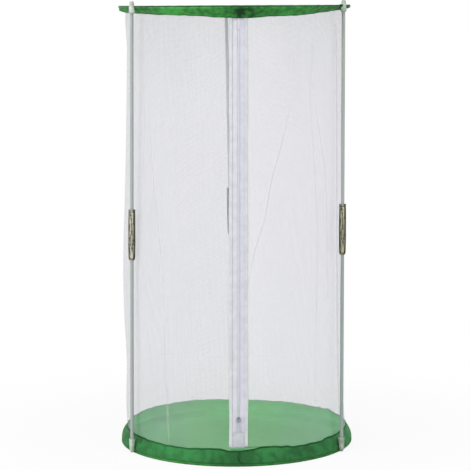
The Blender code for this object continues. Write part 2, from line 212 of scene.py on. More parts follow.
class Nodes:
    """A tree of nodes. A value given to a node is linked if it comes from another node."""

    def __init__(self, tree):
        self.tree = tree

    def give(self, node, name, value):
        socket = node.inputs[name]
        if isinstance(value, bpy.types.NodeSocket):
            self.tree.links.new(value, socket)
        else:
            socket.default_value = value

    def add(self, kind, inputs, output, **settings):
        node = set_up(self.tree.nodes.new("ShaderNode" + kind), **settings)
        for name, value in inputs.items():
            self.give(node, name, value)
        return node.outputs[output]

    def math(self, operation, *values):
        return self.add("Math", dict(enumerate(values)), 0, operation=operation)

    def times(self, value, *others):
        for other in others:
            value = self.math("MULTIPLY", value, other)
        return value

    def total(self, *terms):
        """The sum of some values, each with its share."""
        found = 0.0
        for value, share in terms:
            found = self.math("MULTIPLY_ADD", value, share, found)
        return found

    def stretch(self, value, low, high, out_low=0.0, out_high=1.0):
        inputs = dict(enumerate((value, low, high, out_low, out_high)))
        return self.add("MapRange", inputs, 0, interpolation_type="SMOOTHSTEP")

    def place_map(self):
        return self.add("TexCoord", {}, "Object")

    def away(self, point=(0, 0, 0)):
        """The distance from a point."""
        inputs = {0: self.place_map(), 1: point}
        return self.add("VectorMath", inputs, "Value", operation="DISTANCE")

    def mix_surfaces(self, share, first, second, output):
        mixed = self.add("MixShader", {0: share, 1: first, 2: second}, 0)
        self.give(self.tree.nodes[output], "Surface", mixed)


class Shader(Nodes):
    """A material's nodes."""

    def __init__(self, name, colour, roughness, metallic=0.0):
        self.material = bpy.data.materials.new(name)
        self.material.use_nodes = True
        self.material.diffuse_color = (*colour, 1.0)
        super().__init__(self.material.node_tree)
        self.surface = self.tree.nodes["Principled BSDF"]
        self.give(self.surface, "Metallic", metallic)
        self.finished((*colour, 1.0), roughness)

    def finished(self, tone, roughness, others=()):
        """The material, once its surface has been given these."""
        for name, value in (("Base Color", tone), ("Roughness", roughness), *others):
            self.give(self.surface, name, value)
        return self.material

    def bump(self, height, distance, strength):
        inputs = {"Height": height, "Distance": distance, "Strength": strength}
        self.give(self.surface, "Normal", self.add("Bump", inputs, 0))

    def mix(self, share, first, second):
        return self.add("Mix", {0: share, 6: first, 7: second}, 2, data_type="RGBA")

    def cloth_map(self):
        """Coordinates along a woven piece, in metres."""
        return self.add("UVMap", {}, 0, uv_map="cloth")

    def noise(self, vector, scale, detail=3.0, squeeze=(1, 1, 1)):
        """Noise from 0 to 1, drawn out along an axis that squeeze makes shorter."""
        vector = self.add("Mapping", {"Vector": vector, "Scale": squeeze}, 0)
        return self.add("TexNoise", {"Vector": vector, "Scale": scale, "Detail": detail}, "Fac")

    def axis(self, vector, number):
        return self.add("SeparateXYZ", {0: vector}, number)

    def wave(self, vector, number, rate):
        """Waves along an axis, from -1 to 1."""
        return self.math("SINE", self.times(self.axis(vector, number), rate))

    def spots(self, share, places):
        """Lightens or darkens a share round some places."""
        for point, reach, change in places:
            share = self.math("ADD", share, self.stretch(self.away(point), 0.0, reach, change, 0.0))
        return share

    def shade(self, share, colour, change, tint=(1, 1, 1)):
        """Darkens the colour as share goes to 0, and lightens it, with a tint, towards 1."""
        dark = [part * (1 - change) for part in colour]
        light = [min(part * (1 + change) * tone, 1.0) for part, tone in zip(colour, tint)]
        return self.mix(share, (*dark, 1.0), (*light, 1.0))


def cloth_finish(name, colour, patches, change, tint=(1, 1, 1), spots=(), rim=None, pitch=0.0009):
    """Woven cloth: threads, slubs, faded patches and spots made lighter or darker, under a light sheen. Where
    a tint is given the patches paint sheen streaks, and on the bands the spots are painted light and shade.

    A rim, if given, paints light where the cloth is shaded near its edge: where the cloth starts to pale,
    where it ends, and its colour there."""
    roughness = 0.62
    shader = Shader(name, colour, roughness)
    uv = shader.cloth_map()
    place = shader.place_map()
    weave = shader.times(shader.wave(uv, 0, pi / pitch), shader.wave(uv, 1, pi / pitch))
    fade_and_sheen = shader.stretch(shader.noise(place, patches, 4.0), 0.36, 0.64)
    broad = shader.stretch(shader.noise(place, 5.0, 1.0), 0.35, 0.65)
    slubs = shader.noise(uv, 900.0, 2.0, (1, 0.08, 1))
    worn = shader.total((slubs, 0.3), (fade_and_sheen, 0.42), (broad, 0.28), (weave, 0.06))
    threads = shader.spots(worn, spots)
    tone = shader.shade(threads, colour, change, tint)
    if rim:
        start, end, rim_lit_colour = rim
        painted_light_rim = shader.shade(threads, rim_lit_colour, change, tint)
        tone = shader.mix(shader.stretch(shader.away(), start, end), tone, painted_light_rim)
    shader.bump(shader.math("ADD", weave, slubs), pitch * 0.12, 0.6)
    shine = shader.stretch(slubs, 0.2, 0.8, roughness - 0.08, roughness + 0.1)
    sheen = [("Specular IOR Level", 0.15), ("Sheen Weight", 0.05), ("Sheen Roughness", 0.4)]
    return shader.finished(tone, shine, sheen)


def webbing_finish(name, colour, change, rib=0.0014):
    """Ribbed tape: ribs across its length, with a finer thread along it."""
    shader = Shader(name, colour, 0.8)
    uv = shader.cloth_map()
    ribs = shader.wave(uv, 1, full_turn / rib)
    threads = shader.wave(uv, 0, full_turn / rib * 0.7)
    height = shader.total((ribs, 1.0), (threads, 0.35))
    grime = shader.stretch(shader.noise(shader.place_map(), 60.0), 0.25, 0.75)
    tone = shader.shade(shader.total((grime, 1.0), (height, 0.12)), colour, change)
    shader.bump(height, rib * 0.1, 0.6)
    shine = shader.stretch(grime, 0.3, 0.7, 0.72, 0.9)
    return shader.finished(tone, shine, [("Specular IOR Level", 0.2), ("Sheen Weight", 0.05)])


def netting_finish(name, colour, hole_cover, thread_cover, spots=()):
    """Knitted net: threads round open cells, uneven in cover, and a little greener near the floor, as painted
    light thrown back by the green floor.
    """
    cell = 0.0015
    green_tint = (0.86, 0.985, 0.76)
    shader = Shader(name, colour, 0.75)
    uv = shader.cloth_map()
    edge = shader.add(
        "TexVoronoi", {"Vector": uv, "Scale": 1 / cell, "Randomness": 0.45}, "Distance",
        voronoi_dimensions="2D", feature="DISTANCE_TO_EDGE",
    )
    thread = shader.stretch(edge, 0.06, 0.17, 1.0, 0.0)
    haze = shader.noise(uv, 7.0, 1.0, (1, 0.4, 1))
    cover = shader.stretch(thread, 0.0, 1.0, hole_cover, thread_cover)
    cover = shader.times(cover, shader.stretch(haze, 0.3, 0.7, 0.95, 1.05))
    low = shader.stretch(shader.away(netting_green_place), 0.05, 0.24, 1.0, 0.0)
    greener = [part * tone for part, tone in zip(colour, green_tint)]
    share = shader.spots(haze, spots)
    tone = shader.mix(low, shader.shade(share, colour, 0.11), shader.shade(share, greener, 0.11))
    shader.bump(thread, cell * 0.15, 0.5)
    return shader.finished(tone, 0.75, [("Alpha", cover), ("Specular IOR Level", 0.2)])


def rod_finish(name, colour, metallic=0.0):
    """Drawn glass rod: fine strands along its length under a satin skin."""
    shader = Shader(name, colour, 0.42, metallic)
    place = shader.place_map()
    strands = shader.noise(place, 1400.0, 2.0, (1, 1, 0.012))
    handled = shader.noise(place, 30.0, squeeze=(1, 1, 0.3))
    tone = shader.shade(shader.total((handled, 0.5), (strands, 0.5)), colour, 0.22)
    shader.bump(strands, 0.00012, 0.5)
    return shader.finished(tone, shader.stretch(handled, 0.3, 0.7, 0.34, 0.52))


def sleeve_finish(name, bright, dark):
    """Plated tube, scratched along its length, with painted shade on its flanks and in its end grooves."""
    shader = Shader(name, bright, 0.35, 0.8)
    place = shader.place_map()
    streaks = shader.noise(place, 760.0, 2.0, (1, 1, 0.06))
    scratches = shader.noise(place, 800.0, 3.0, (1, 1, 0.2))
    mottle = shader.noise(place, 760.0, 2.0, (1, 1, 0.3))
    # The near-black and bright streaks are partly tarnish and scratches, partly painted reflections of a
    # shiny tube
    worn = shader.total((scratches, 0.2), (streaks, 0.45), (mottle, 0.35))
    across = shader.axis(place, 1)
    # Painted shade on both flanks, darkest on the right
    right_flank_shade = shader.stretch(across, 0.0012, 0.0062, 1.0, 0.22)
    left_flank_shade = shader.stretch(across, -0.0082, -0.0014, 0.30, 1.0)
    share = shader.times(shader.stretch(worn, 0.455, 0.55), right_flank_shade, left_flank_shade)
    # Painted shade in the end grooves
    for groove in sleeve_grooves:
        near = shader.math("ABSOLUTE", shader.math("SUBTRACT", shader.axis(place, 2), groove))
        share = shader.times(share, shader.stretch(near, 0.0003, 0.0016, 0.1, 1.0))
    shader.bump(worn, 0.0005, 0.9)
    tone = shader.mix(share, (*dark, 1.0), (*bright, 1.0))
    return shader.finished(tone, shader.stretch(worn, 0.4, 0.6, 0.6, 0.28))


def metal_finish(name, colour, roughness=0.35, metallic=1.0):
    """Bare or cast metal with a fine grain."""
    shader = Shader(name, colour, roughness, metallic)
    grain = shader.noise(shader.place_map(), 900.0, 2.0)
    shader.bump(grain, 0.0001, 0.3)
    shine = shader.stretch(grain, 0.3, 0.7, roughness - 0.08, roughness + 0.1)
    return shader.finished(shader.shade(grain, colour, 0.12), shine)


def coil_finish(name, colour):
    """Nylon, and thread: a fine grain with a satin shine."""
    shader = Shader(name, colour, 0.4)
    grain = shader.noise(shader.place_map(), 700.0, 2.0)
    shine = shader.stretch(grain, 0.3, 0.7, 0.32, 0.48)
    return shader.finished(shader.shade(grain, colour, 0.1), shine)


# Building pieces

def new_piece(name, points, faces, finish, slot, smooth=True):
    mesh = bpy.data.meshes.new(name)
    mesh.from_pydata(points, [], faces)
    if smooth:
        mesh.shade_smooth()
    mesh.materials.append(finish)
    piece = add_object(name, mesh)
    return piece


def grid_faces(columns, rows, across):
    """The faces of a grid whose rows have this many points, and close where that is as many as columns."""
    faces = []
    for low in range(0, rows * across, across):
        for left in range(columns):
            right = (left + 1) % across
            faces.append((low + left, low + right, low + across + right, low + across + left))
    return faces


def cloth_grid(name, columns, rows, place, size, finish, slot, node=None, thick=0, inside=None,
               closed=False, cap=False):
    """A grid of cloth, with its flat width and height in size. It may stand for a node of the frame.

    place gives a point for the shares across and up, or for the angle and the share up if it is closed.
    A thick one grows outwards, and may have another finish inside."""
    across = columns if closed else columns + 1
    reach = full_turn if closed else 1
    points = [place(i / columns * reach, j / rows) for j in range(rows + 1) for i in range(across)]
    faces = grid_faces(columns, rows, across)
    if cap:
        faces.append(tuple(rows * across + i for i in range(across)))
    piece = new_piece(name, points, faces, finish, slot)
    width, height = size
    uv = piece.data.uv_layers.new(name="cloth")
    corners = ((0, 0), (1, 0), (1, 1), (0, 1))
    for face in piece.data.polygons[: rows * columns]:
        row, column = divmod(face.index, columns)
        for loop, (right, up) in zip(face.loop_indices, corners):
            uv.data[loop].uv = ((column + right) / columns * width, (row + up) / rows * height)
    if thick:
        solid = piece.modifiers.new("thickness", "SOLIDIFY")
        set_up(solid, thickness=thick, offset=1, use_even_offset=False)
        if inside:
            piece.data.materials.append(inside)
            solid.material_offset = 1
    if node:
        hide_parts(node)
    return piece


def stitches(name, path, finish, slot="white_webbing", thread=0.00045, share=0.68):
    """A row of stitches, one slim spindle between each two points of the path."""
    shoulder = 0.55
    sides = 4
    points = []
    faces = []
    for start, end in zip(path, path[1:]):
        along = (end - start).normalized()
        reach = (end - start) * share / 2
        middle = (start + end) / 2
        across = along.orthogonal().normalized()
        other = along.cross(across)
        first = len(points)
        points += [middle - reach, middle + reach]
        for shift in (-shoulder, shoulder):
            for i in range(sides):
                angle = full_turn * i / sides
                out = across * cos(angle) + other * sin(angle)
                points.append(middle + reach * shift + out * thread)
        for i in range(sides):
            low = first + 2 + i
            low_next = first + 2 + (i + 1) % sides
            faces.append((first, low_next, low))
            faces.append((low, low_next, low_next + sides, low + sides))
            faces.append((first + 1, low + sides, low_next + sides))
    return new_piece(name, points, faces, finish, slot)


def spaced(start, end, pitch):
    """Evenly spaced values from start to end, about pitch apart."""
    count = max(round(abs(end - start) / pitch), 1)
    return [start + (end - start) * i / count for i in range(count + 1)]


# The cage's surfaces

def clamped(share):
    return min(max(share, 0), 1)


def bell(away, power=2):
    """From 1 in the middle down to 0, with a higher power for steeper flanks."""
    return exp(-abs(away) ** power)


def bell_round(angle, centre, spread, power=2):
    """A bell round the cage. Its centre and spread are in degrees."""
    return bell(remainder(angle - radians(centre), full_turn) / radians(spread), power)


def drop_at(angle, drops):
    """How far an edge drops below its level at an angle."""
    return sum(depth * bell_round(angle, *form) for depth, *form in drops)


def ripple(angle, name):
    """How far the named waves stray at an angle."""
    depth, seed, counts = ripples[name]
    return depth * (sum(sin(count * angle + seed * count) for count in counts) / len(counts))


def top_edge(angle):
    """The height of the top band's lower edge."""
    return cage_height - top_band_drop - drop_at(angle, top_edge_drops)


strip_top = top_edge(strip_head_angle)


def strip_angle(height):
    share = (height - base_band_height) / (cage_height - base_band_height)
    return strip_foot_angle + (strip_head_angle - strip_foot_angle) * share


def side_flare(angle):
    """How far the top band and the netting under it stand out at the left."""
    return 0.005 * bell_round(angle, -92, 22)


def wall_radius(angle, height, calm=False):
    """The netting's radius, with its folds, its lean and the puckers at both seams."""
    flare_start = 0.92
    flare_reach = 0.05
    edge = top_edge(angle)
    share = clamped((height - base_band_height) / (edge - base_band_height))
    radius = base_seam_radius + (top_seam_radius - 2 * cloth_thickness - base_seam_radius) * share
    radius += side_flare(angle) * clamped((share - flare_start) / flare_reach)
    sway = sum(depth * bell((height - centre) / spread) for depth, centre, spread in left_sways)
    radius += sway * bell_round(angle, -90, 33)
    hang = sin(pi * share)
    away = abs(remainder(angle - strip_angle(height), full_turn))
    free_share = 1 - bell(max(away - calm_angle, 0) / calm_spread)
    fold = fold_depth * sin(fold_count * (angle + fold_drift * share)) * hang
    sideways = sin(angle)
    pull = side_pull * sideways * abs(sideways) * sin(pi * share ** side_pull_power)
    if calm:
        return radius + (fold - pull) * free_share
    small = ripple(angle + 0.05 * share, "net_folds") * hang
    low_pucker = exp(-(height - base_band_height) / pucker_reach)
    high_pucker = exp(-max(edge - height, 0) / pucker_reach)
    pucker = ripple(angle, "net_puckers") * (low_pucker + high_pucker)
    return radius + (fold - pull + small + pucker) * free_share


def round_point(angle, radius, height):
    return Vector((radius * sin(angle), -radius * cos(angle), height))


def wall_point(angle, height, layer, calm=False):
    return round_point(angle, wall_radius(angle, height, calm) + layer, height)


def strip_point(across, height, layer):
    """A point on the zipped strip, at a distance from its middle line."""
    return wall_point(strip_angle(height) + across / base_seam_radius, height, layer, calm=True)


# Netting

def net_panel(side, sign, finish):
    """Half of the wall, from under the strip's binding round to the rear seam."""
    joint = strip_half - binding_width / 2
    seam_allowance = 0.004
    low_overlap = 0.002
    high_overlap = 0.004
    width = pi * base_seam_radius - joint + seam_allowance
    height = cage_height - top_band_drop - base_band_height

    def place(across, up):
        level = base_band_height + (cage_height - base_band_height) * up
        near = strip_angle(level) + sign * joint / base_seam_radius
        first, last = sorted((near, sign * (pi + seam_allowance / base_seam_radius)))
        angle = first + (last - first) * across
        low = base_band_height - low_overlap + base_edge_wave(angle)
        level = low + (top_edge(angle) + high_overlap - low) * up
        return wall_point(angle, level, 0.0003)

    size = (width, height)
    grid = (net_columns, net_rows, place, size)
    piece = cloth_grid("netting_" + side, *grid, finish, "white_netting", "net_" + side)
    return piece


def crease(name, path, width, finish):
    """A fold pressed into the netting, where it lies double, along a path of (degrees, height) points."""
    length = path[-1][1] - path[0][1]
    rows = 60

    def place(across, up):
        level = path[0][1] + length * up
        for (low_angle, low), (high_angle, high) in zip(path, path[1:]):
            if low <= level <= high:
                share = (level - low) / (high - low)
                middle = low_angle + (high_angle - low_angle) * share
        taper = sin(pi * min(max(up, 0.02), 0.98)) ** 0.4
        middle = radians(middle) + 0.0015 * sin(23 * level)
        return wall_point(middle + (across - 0.5) * width * taper / base_seam_radius, level, 0.0007)

    return cloth_grid(name, 2, rows, place, (width, length), finish, "white_netting")


def rear_seam(finish):
    """The hem where the two panels are sewn together."""
    half = 0.005
    length = top_edge(pi) - base_band_height

    def place(across, up):
        angle = pi + (2 * across - 1) * half / base_seam_radius
        return wall_point(angle, base_band_height + length * up, 0.0006)

    return cloth_grid("rear_seam", 3, net_rows, place, (2 * half, length), finish, "white_netting")


# Green ends

def disc(name, columns, rows, place, radius, finish, node):
    """A round piece of cloth, with its cloth map laid as it was cut, so that its threads run straight."""
    grid = (columns, rows, place, (full_turn * radius, radius))
    piece = cloth_grid(name, *grid, finish, "green_fabric", node, closed=True, cap=True)
    uv = piece.data.uv_layers["cloth"].data
    for loop in piece.data.loops:
        uv[loop.index].uv = piece.data.vertices[loop.vertex_index].co.xy
    return piece


def base_edge_wave(angle):
    """How far the base band's upper edge strays from its height, with scallops towards the back."""
    scallop = 0.0014 * bell_round(angle, 125, 24, 4) * max(sin(37 * angle), 0) ** 2
    return ripple(angle, "base_edge") - drop_at(angle, base_edge_drops) + scallop


def base_cloth(finish):
    """The floor: a disc that lies in slight waves, and curves up over the casing to meet the band."""
    turn_share = 0.25
    turn_reach = 0.030
    turn_height = 0.012
    floor_height = 0.0018
    crease_depth = 0.0008
    crease_spread = 0.006
    inner_share = 0.985

    def place(angle, inwards):
        edge = base_hoop_radius + 0.00085 + 0.00145 * abs(sin(angle))
        if inwards < turn_share:
            turn = pi / 2 * (1 - inwards / turn_share)
            away = edge - turn_reach * (1 - sin(turn))
            rise = turn_height * (1 - cos(turn))
        else:
            away = (edge - turn_reach) * (1 - inner_share * (inwards - turn_share) / (1 - turn_share))
            rise = 0
        share = away / edge
        calm = 1 - share ** 6
        wave = ripple(angle, "floor") * share * calm
        crease = crease_depth * bell(away * sin(angle - 0.5) / crease_spread)
        crease += crease_depth * bell((away * cos(angle + 0.2) - 0.03) / crease_spread)
        return round_point(angle, away, floor_height + wave + crease * calm + rise)

    radius = base_hoop_radius + turn_height / 2
    return disc("floor_cloth", 192, 64, place, radius, finish, "floor_panel")


def top_cloth(finish):
    """The top disc, which sags a little between the hoop's sides."""
    radius = top_hoop_radius - casing_radius * 0.8
    inner_share = 0.985
    depth_below_rim = 0.0024
    sag_depth = 0.0065

    def place(angle, inwards):
        share = 1 - inwards * inner_share
        sag = -sag_depth * (1 - share ** 2)
        wave = ripple(angle, "top") * share * (1 - share ** 5)
        pucker = ripple(angle, "top_puckers") * share ** 8 - roll_sag(angle) * share ** 2
        return round_point(angle, radius * share, cage_height - depth_below_rim + sag + wave + pucker)

    return disc("top_cloth", 144, 46, place, radius, finish, "top_panel")


def casing_ring(name, node, hoop_radius, hoop_height, gathers, finish, point=0.0):
    """A sleeve of cloth gathered round the hoop, and drawn to a point outwards and up if one is given."""
    start = -radians(150)
    end = radians(215)
    point_turn = radians(38)

    def place(angle, round_share):
        turn = start + (end - start) * round_share
        gather = ripple(angle, gathers) * (1 + 0.4 * sin(2 * turn))
        reach = (casing_radius - cloth_thickness * 0.3) * (1 - 0.5 * point) + gather
        reach *= 1 + 1.55 * point * max(cos(turn - point_turn), 0) ** 10
        if turn < 0 and abs(turn + pi / 2) < radians(60):
            reach = min(reach, casing_radius)
        out = reach * cos(turn)
        rise = reach * sin(turn) - (roll_sag(angle) if point else 0)
        keep = max(wire_cover / hypot(out, rise), 1)
        return round_point(angle, hoop_radius + out * keep, hoop_height + rise * keep)

    size = (full_turn * hoop_radius, full_turn * casing_radius)
    return cloth_grid(name, 432, 14, place, size, finish, "green_fabric", node, closed=True)


def base_skirt(finish, inside):
    """The sloping band between the casing and the netting, with soft dents and seam puckers."""
    turn = radians(48)
    low = casing_radius * (1 + sin(turn))
    low_radius = base_hoop_radius + casing_radius * cos(turn)
    join_depth = 0.0009
    join_spread = 0.0028

    def place(angle, up):
        height = low + (base_band_height + base_edge_wave(angle) - low) * up
        belly = sin(pi * up ** 0.9)
        radius = low_radius + (base_seam_radius - low_radius) * up
        radius += (0.0026 + 0.0024 * abs(sin(angle))) * belly
        soft = ripple(angle, "base_band_dents") * belly
        slant = 0.0007 * sin(31 * angle + 5 * up) * belly * (0.5 + 0.5 * sin(3 * angle))
        pucker = ripple(angle, "base_band_puckers") * up ** 3
        tuck = ripple(angle, "base_band_tucks") * (1 - up) ** 3 + 0.0004 * (1 - up) ** 6
        from_join = remainder(angle - strip_foot_angle, full_turn) * radius
        join = join_depth * bell(from_join / join_spread)
        return round_point(angle, radius + soft + slant + pucker + tuck + join - cloth_thickness, height)

    size = (full_turn * base_radius, base_band_height - low)
    own = ("base_band", cloth_thickness, inside)
    piece = cloth_grid("base_skirt", 576, 14, place, size, finish, "green_fabric", *own, closed=True)
    return piece


def base_tape(finish):
    """The dark folded tape over the seam of the netting and the base band."""
    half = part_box("base_binding")[1].z - base_band_height
    slope = 0.36

    def place(angle, up):
        bow = 0.0004 * sin(pi * up)
        drop = half * (1.35 + ripple(angle, "base_tape_width")) * (1 - up)
        height = base_band_height + 0.0007 + base_edge_wave(angle) - drop
        out = 0.0009 + slope * drop + bow + ripple(angle, "base_tape") * up
        return round_point(angle, base_seam_radius + out, height)

    size = (full_turn * base_seam_radius, 2 * half)
    own = ("dark_green_binding", "base_binding", 0.0007)
    return cloth_grid("base_seam_tape", 432, 5, place, size, finish, *own, closed=True)


def skirt_join(finish, thread):
    """The overlap where the base band's two ends are sewn together, under the zip; its darker green paints
    the shade in the overlap's fold.
    """
    half = 0.0011
    low = 2 * casing_radius - 0.0004
    high = base_band_height - 0.0075
    bend_share = 0.28
    slope = (base_hoop_radius + casing_radius * 0.6 - base_seam_radius) / (base_band_height - low)

    def place(across, up):
        height = low + (high - low) * up
        bow = 0.0004 * sin(pi * across) + 0.0026 * sin(pi * up ** 0.9)
        bend = max(bend_share - up, 0) / bend_share
        shift = 0.0026 - 0.0034 * sin(pi * min((1 - up) / 0.85, 1)) + 0.009 * bend ** 1.5
        angle = strip_foot_angle + ((2 * across - 1) * half + shift) / base_seam_radius
        out = slope * (base_band_height - height) + 0.0009 + bow
        return round_point(angle, base_seam_radius + out, height)

    size = (2 * half, high - low)
    piece = cloth_grid("skirt_join", 4, 16, place, size, finish, "green_fabric", thick=0.0006)
    path = [place(0.5, up) + Vector((0.0026, -0.0003, 0)) for up in spaced(0.02, 0.98, 0.09)]
    return piece, stitches("skirt_join_stitches", path, thread, "green_fabric", 0.0004)


def top_skirt(finish, inside):
    """The short sloping band under the top hoop, with tension wrinkles from the hoop."""
    high = top_hoop_height - casing_radius * 0.78

    def place(angle, up):
        low = top_edge(angle)
        height = low + (high - low) * up
        belly = sin(pi * up)
        hem_share = (1 - up) ** 2
        soft = ripple(angle, "top_band_dents") * belly
        slant = 0.0006 * sin(37 * angle + 4 * up) * belly
        pucker = ripple(angle, "top_band_puckers") * hem_share
        radius = top_seam_radius + (top_hoop_radius - top_seam_radius) * up
        radius += side_flare(angle) * (1 - up ** 3 + 1.05 * belly)
        radius += soft + slant + pucker - cloth_thickness
        return round_point(angle, radius, height + ripple(angle, "top_edge") * hem_share)

    size = (full_turn * top_radius, top_radius - top_seam_radius)
    own = ("top_band", cloth_thickness, inside)
    piece = cloth_grid("top_skirt", 576, 12, place, size, finish, "green_fabric", *own, closed=True)
    return piece


def roll_sag(angle):
    """How far the top roll hangs on its hoop, between the front poles and at the back."""
    sag = 0.0014 * (0.7 - 0.3 * cos(6 * angle) + ripple(angle, "top_roll")) * bell_round(angle, 0, 52, 6)
    sag += 0.0004 * bell_round(angle, 28, 26, 4)
    return sag + 0.0012 * bell_round(angle, 180, 78, 6)


def piping(name, reach, centre, finish):
    """A thin roll of cloth round the top, through the radius and height that centre gives."""
    def place(angle, turn_share):
        turn = full_turn * turn_share
        radius, height = centre(angle)
        return round_point(angle, radius + reach * cos(turn), height + reach * 1.5 * sin(turn))

    size = (full_turn * top_seam_radius, full_turn * reach)
    return cloth_grid(name, 432, 8, place, size, finish, "dark_green_binding", closed=True)


def hem_centre(angle):
    """The middle of the turned hem along the top band's lower edge."""
    radius = top_seam_radius - cloth_thickness / 2 + ripple(angle, "top_band_puckers") + side_flare(angle)
    return radius, top_edge(angle) + ripple(angle, "top_edge") + 0.0006


def rim_centre(angle):
    """The middle of the seam along the top of the roll."""
    turn = radians(62)
    reach = casing_radius * 0.98
    height = top_hoop_height + reach * sin(turn) - roll_sag(angle) + ripple(angle, "top_rim")
    return top_hoop_radius + reach * cos(turn), height


def pocket_tongue(finish):
    """A fold of the top band, pushed up against the left of the right pole's pocket; its near-black colour
    paints the shade in the fold.
    """
    pole = pole_place("right")
    start = -165
    sweep = 88
    clearance = 0.0080
    middle = 1.1457

    def place(across, up):
        turn = radians(start + sweep * across)
        half = 0.0036 * (1 - 0.35 * across)
        height = middle + (2 * up - 1) * half + 0.0005 * sin(7 * turn)
        reach = clearance + 0.0006 * sin(11 * turn + 5 * up)
        return pole @ Vector((reach * cos(turn), reach * sin(turn), height))

    size = (0.012, 0.007)
    return cloth_grid("pocket_tongue", 20, 8, place, size, finish, "green_fabric", thick=0.0006)


# Zip

def strip_tape(side, sign, finish):
    """Half of the zip's tape, from the teeth out to the binding, with a slightly wavy edge."""
    inner = tape_parting / 2
    outer = strip_half - binding_width / 2
    low = base_band_height + 0.0004
    middle_gap = 0.0001

    def place(across, up):
        height = low + (strip_top - low) * up
        near = inner if height > slider_low else middle_gap
        left, right = sorted((sign * near, sign * outer))
        ease = 0.0003 * sin(height * 90 + sign) * sin(pi * across)
        return strip_point(left + (right - left) * across, height, ease)

    size = (outer - inner, strip_top - low)
    own = ("white_tape", "zipper_tape_" + side, tape_thickness)
    piece = cloth_grid("tape_" + side, 6, 110, place, size, finish, *own)
    return piece


def strip_binding(side, sign, finish):
    """The folded webbing that joins the tape to the netting."""
    inner = strip_half - binding_width
    layer = tape_thickness + 0.0002

    def place(across, up):
        height = patch_low + (strip_top - patch_low) * up
        stray = 0.0008 * sin(height * 31 + 2 * sign) * sin(height * 13)
        left, right = sorted((sign * inner, sign * strip_half + stray))
        crown = 0.0003 * sin(pi * across) ** 0.5
        return strip_point(left + (right - left) * across, height, layer + crown)

    size = (binding_width, strip_top - patch_low)
    own = ("white_webbing", "strip_binding_" + side, 0.0006)
    return cloth_grid("binding_" + side, 6, 150, place, size, finish, *own)


def zip_teeth(side, sign, finish):
    """Teeth that mesh with the other side's above the slider, and stand clear of them below it."""
    pitch = 0.0024
    wide = 0.0026
    high = 0.0013
    parted = 0.0013
    meshed = -0.0004
    points = []
    faces = []
    heights = spaced(stop_top + pitch, slider_low, pitch) + spaced(slider_high + pitch / 2, teeth_high, pitch)
    for height in heights:
        level = height + sign * pitch / 4
        apart = parted if height <= slider_low else meshed
        first = len(points)
        for across, deep in ((sign * apart, 0.7), (sign * (apart + wide), 1.0)):
            for up, out in ((-0.5, 0.0), (0.5, 0.0), (0.34, 1.0), (-0.34, 1.0)):
                spot = level + up * pitch * 0.72 * deep
                points.append(strip_point(across, spot, tape_thickness + high * out * deep))
        for face in ((0, 1, 5, 4), (1, 2, 6, 5), (2, 3, 7, 6), (3, 0, 4, 7), (3, 2, 1, 0), (4, 5, 6, 7)):
            faces.append(tuple(first + corner for corner in (face if sign < 0 else reversed(face))))
    piece = new_piece("teeth_" + side, points, faces, finish, "zipper_coil", smooth=False)
    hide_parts("zipper_teeth_" + side)
    return piece


def end_patch(finish):
    """The webbing sewn over the strip's lower end."""
    half = strip_half - binding_width - 0.0004

    def place(across, up):
        height = patch_low + (patch_top - patch_low) * up
        crown = 0.0003 + 0.0004 * sin(pi * up) * sin(pi * across)
        return strip_point(-half + 2 * half * across, height, tape_thickness + crown)

    size = (2 * half, patch_top - patch_low)
    return cloth_grid("lower_patch", 10, 12, place, size, finish, "white_webbing", "end_patch", 0.0007)


def strip_stitches(name, across, low, layer, finish):
    """A row of stitches from low up to the strip's head."""
    path = [strip_point(across, height, layer) for height in spaced(low, strip_top - 0.001, 0.0036)]
    return stitches(name, path, finish)


# Slider and tab, in the slider's own axes: across, outwards, up

def joint(name):
    return next(found for found in frame["joints"] if found["name"] == name)


def joint_axis(name):
    return Vector(joint(name)["axis"]).normalized()


def own_axes(origin, *axes):
    return Matrix.Translation(origin) @ Matrix(axes).transposed().to_4x4()


def slider_place():
    up = joint_axis("zipper_slide")
    across = joint_axis("pull_tab_swing")
    outward = up.cross(across)
    pivot = Vector(joint("pull_tab_swing")["pos_m"])
    return own_axes(pivot - outward * (slider_front + tab_pivot_height), across, outward, up)


def plate(name, outline, low, high, finish, holes=()):
    """An outline across and up, from low to high outwards, with rounded edges."""
    curve = bpy.data.curves.new(name, "CURVE")
    set_up(curve, dimensions="2D", fill_mode="BOTH", extrude=(high - low) / 2)
    for loop in (outline, *holes):
        spline = curve.splines.new("POLY")
        spline.points.add(len(loop) - 1)
        for point, (across, up) in zip(spline.points, loop):
            point.co = (across, up, 0, 1)
        spline.use_cyclic_u = True
    guide = add_object(name + "_guide", curve)
    bpy.context.view_layer.update()
    mesh = bpy.data.meshes.new_from_object(guide.evaluated_get(bpy.context.evaluated_depsgraph_get()))
    bpy.data.objects.remove(guide, do_unlink=True)
    mesh.name = name
    mesh.transform(Matrix(((1, 0, 0, 0), (0, 0, 1, (low + high) / 2), (0, 1, 0, 0), (0, 0, 0, 1))))
    mesh.flip_normals()
    mesh.materials.clear()
    mesh.materials.append(finish)
    piece = add_object(name, mesh)
    set_up(piece.modifiers.new("weld", "WELD"), merge_threshold=0.00001)
    set_up(piece.modifiers.new("rounding", "BEVEL"), width=0.00025, segments=2, limit_method="ANGLE")
    return piece


